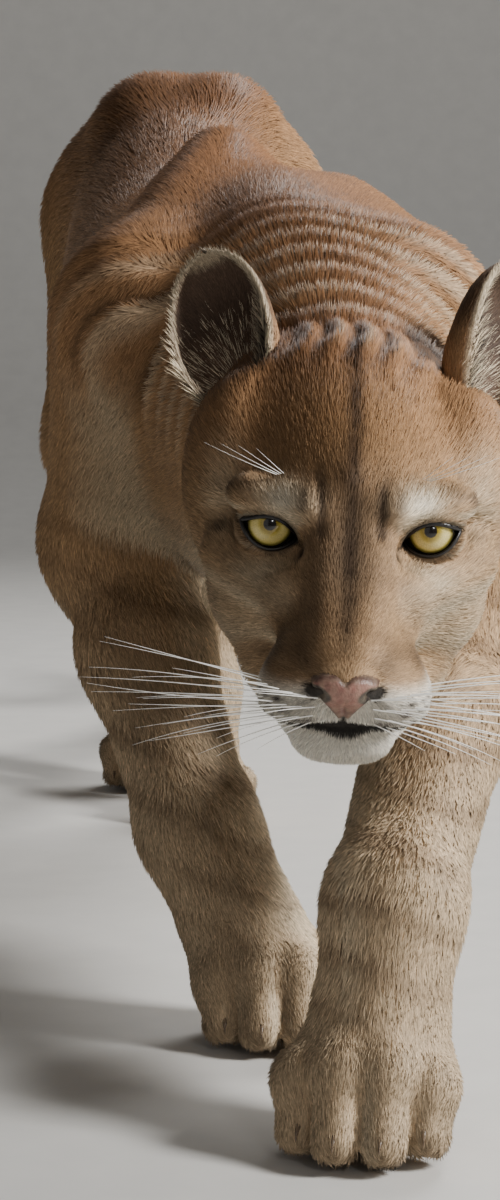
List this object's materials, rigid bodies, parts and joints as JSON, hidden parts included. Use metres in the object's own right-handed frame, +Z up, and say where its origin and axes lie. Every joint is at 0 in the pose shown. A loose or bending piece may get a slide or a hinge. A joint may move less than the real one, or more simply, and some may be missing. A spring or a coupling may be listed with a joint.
{
  "type": "cougar, life-size still model",
  "caption": "Life-size still cougar stalking forward with its head low, one forepaw set down ahead and a long tail that sweeps down behind.",
  "frame": {"origin": "middle of the whole animal's plan outline, on the floor that the paws stand on", "axes": "+Z up, the animal faces -Y with its tail towards +Y, +X to its own left"},
  "size_m": [0.3438, 1.7378, 0.6104],
  "materials": {
    "coat": "short dense tawny fur, paler below",
    "pale_coat": "short cream fur of the muzzle, chin and paws",
    "dark_coat": "dark brown fur of the tail's tip",
    "nose_skin": "moist pebbled skin",
    "eye": "wet, glossy"
  },
  "bodies": {
    "root": {"head": "coat", "lower_jaw": "pale_coat", "nose": "nose_skin", "eye_left": "eye", "eye_right": "eye", "ear_left": "coat", "ear_right": "coat", "neck": "coat", "torso_chest": "coat", "torso_loins": "coat", "foreleg_left_elbow": "coat", "foreleg_left_forearm": "coat", "foreleg_left_paw": "pale_coat", "foreleg_right_elbow": "coat", "foreleg_right_forearm": "coat", "foreleg_right_paw": "pale_coat", "hindleg_left_thigh": "coat", "hindleg_left_shank": "coat", "hindleg_left_paw": "pale_coat", "hindleg_right_thigh": "coat", "hindleg_right_shank": "coat", "hindleg_right_paw": "pale_coat", "tail_base": "coat", "tail_middle": "coat", "tail_tip": "dark_coat"}
  },
  "joints": []
}
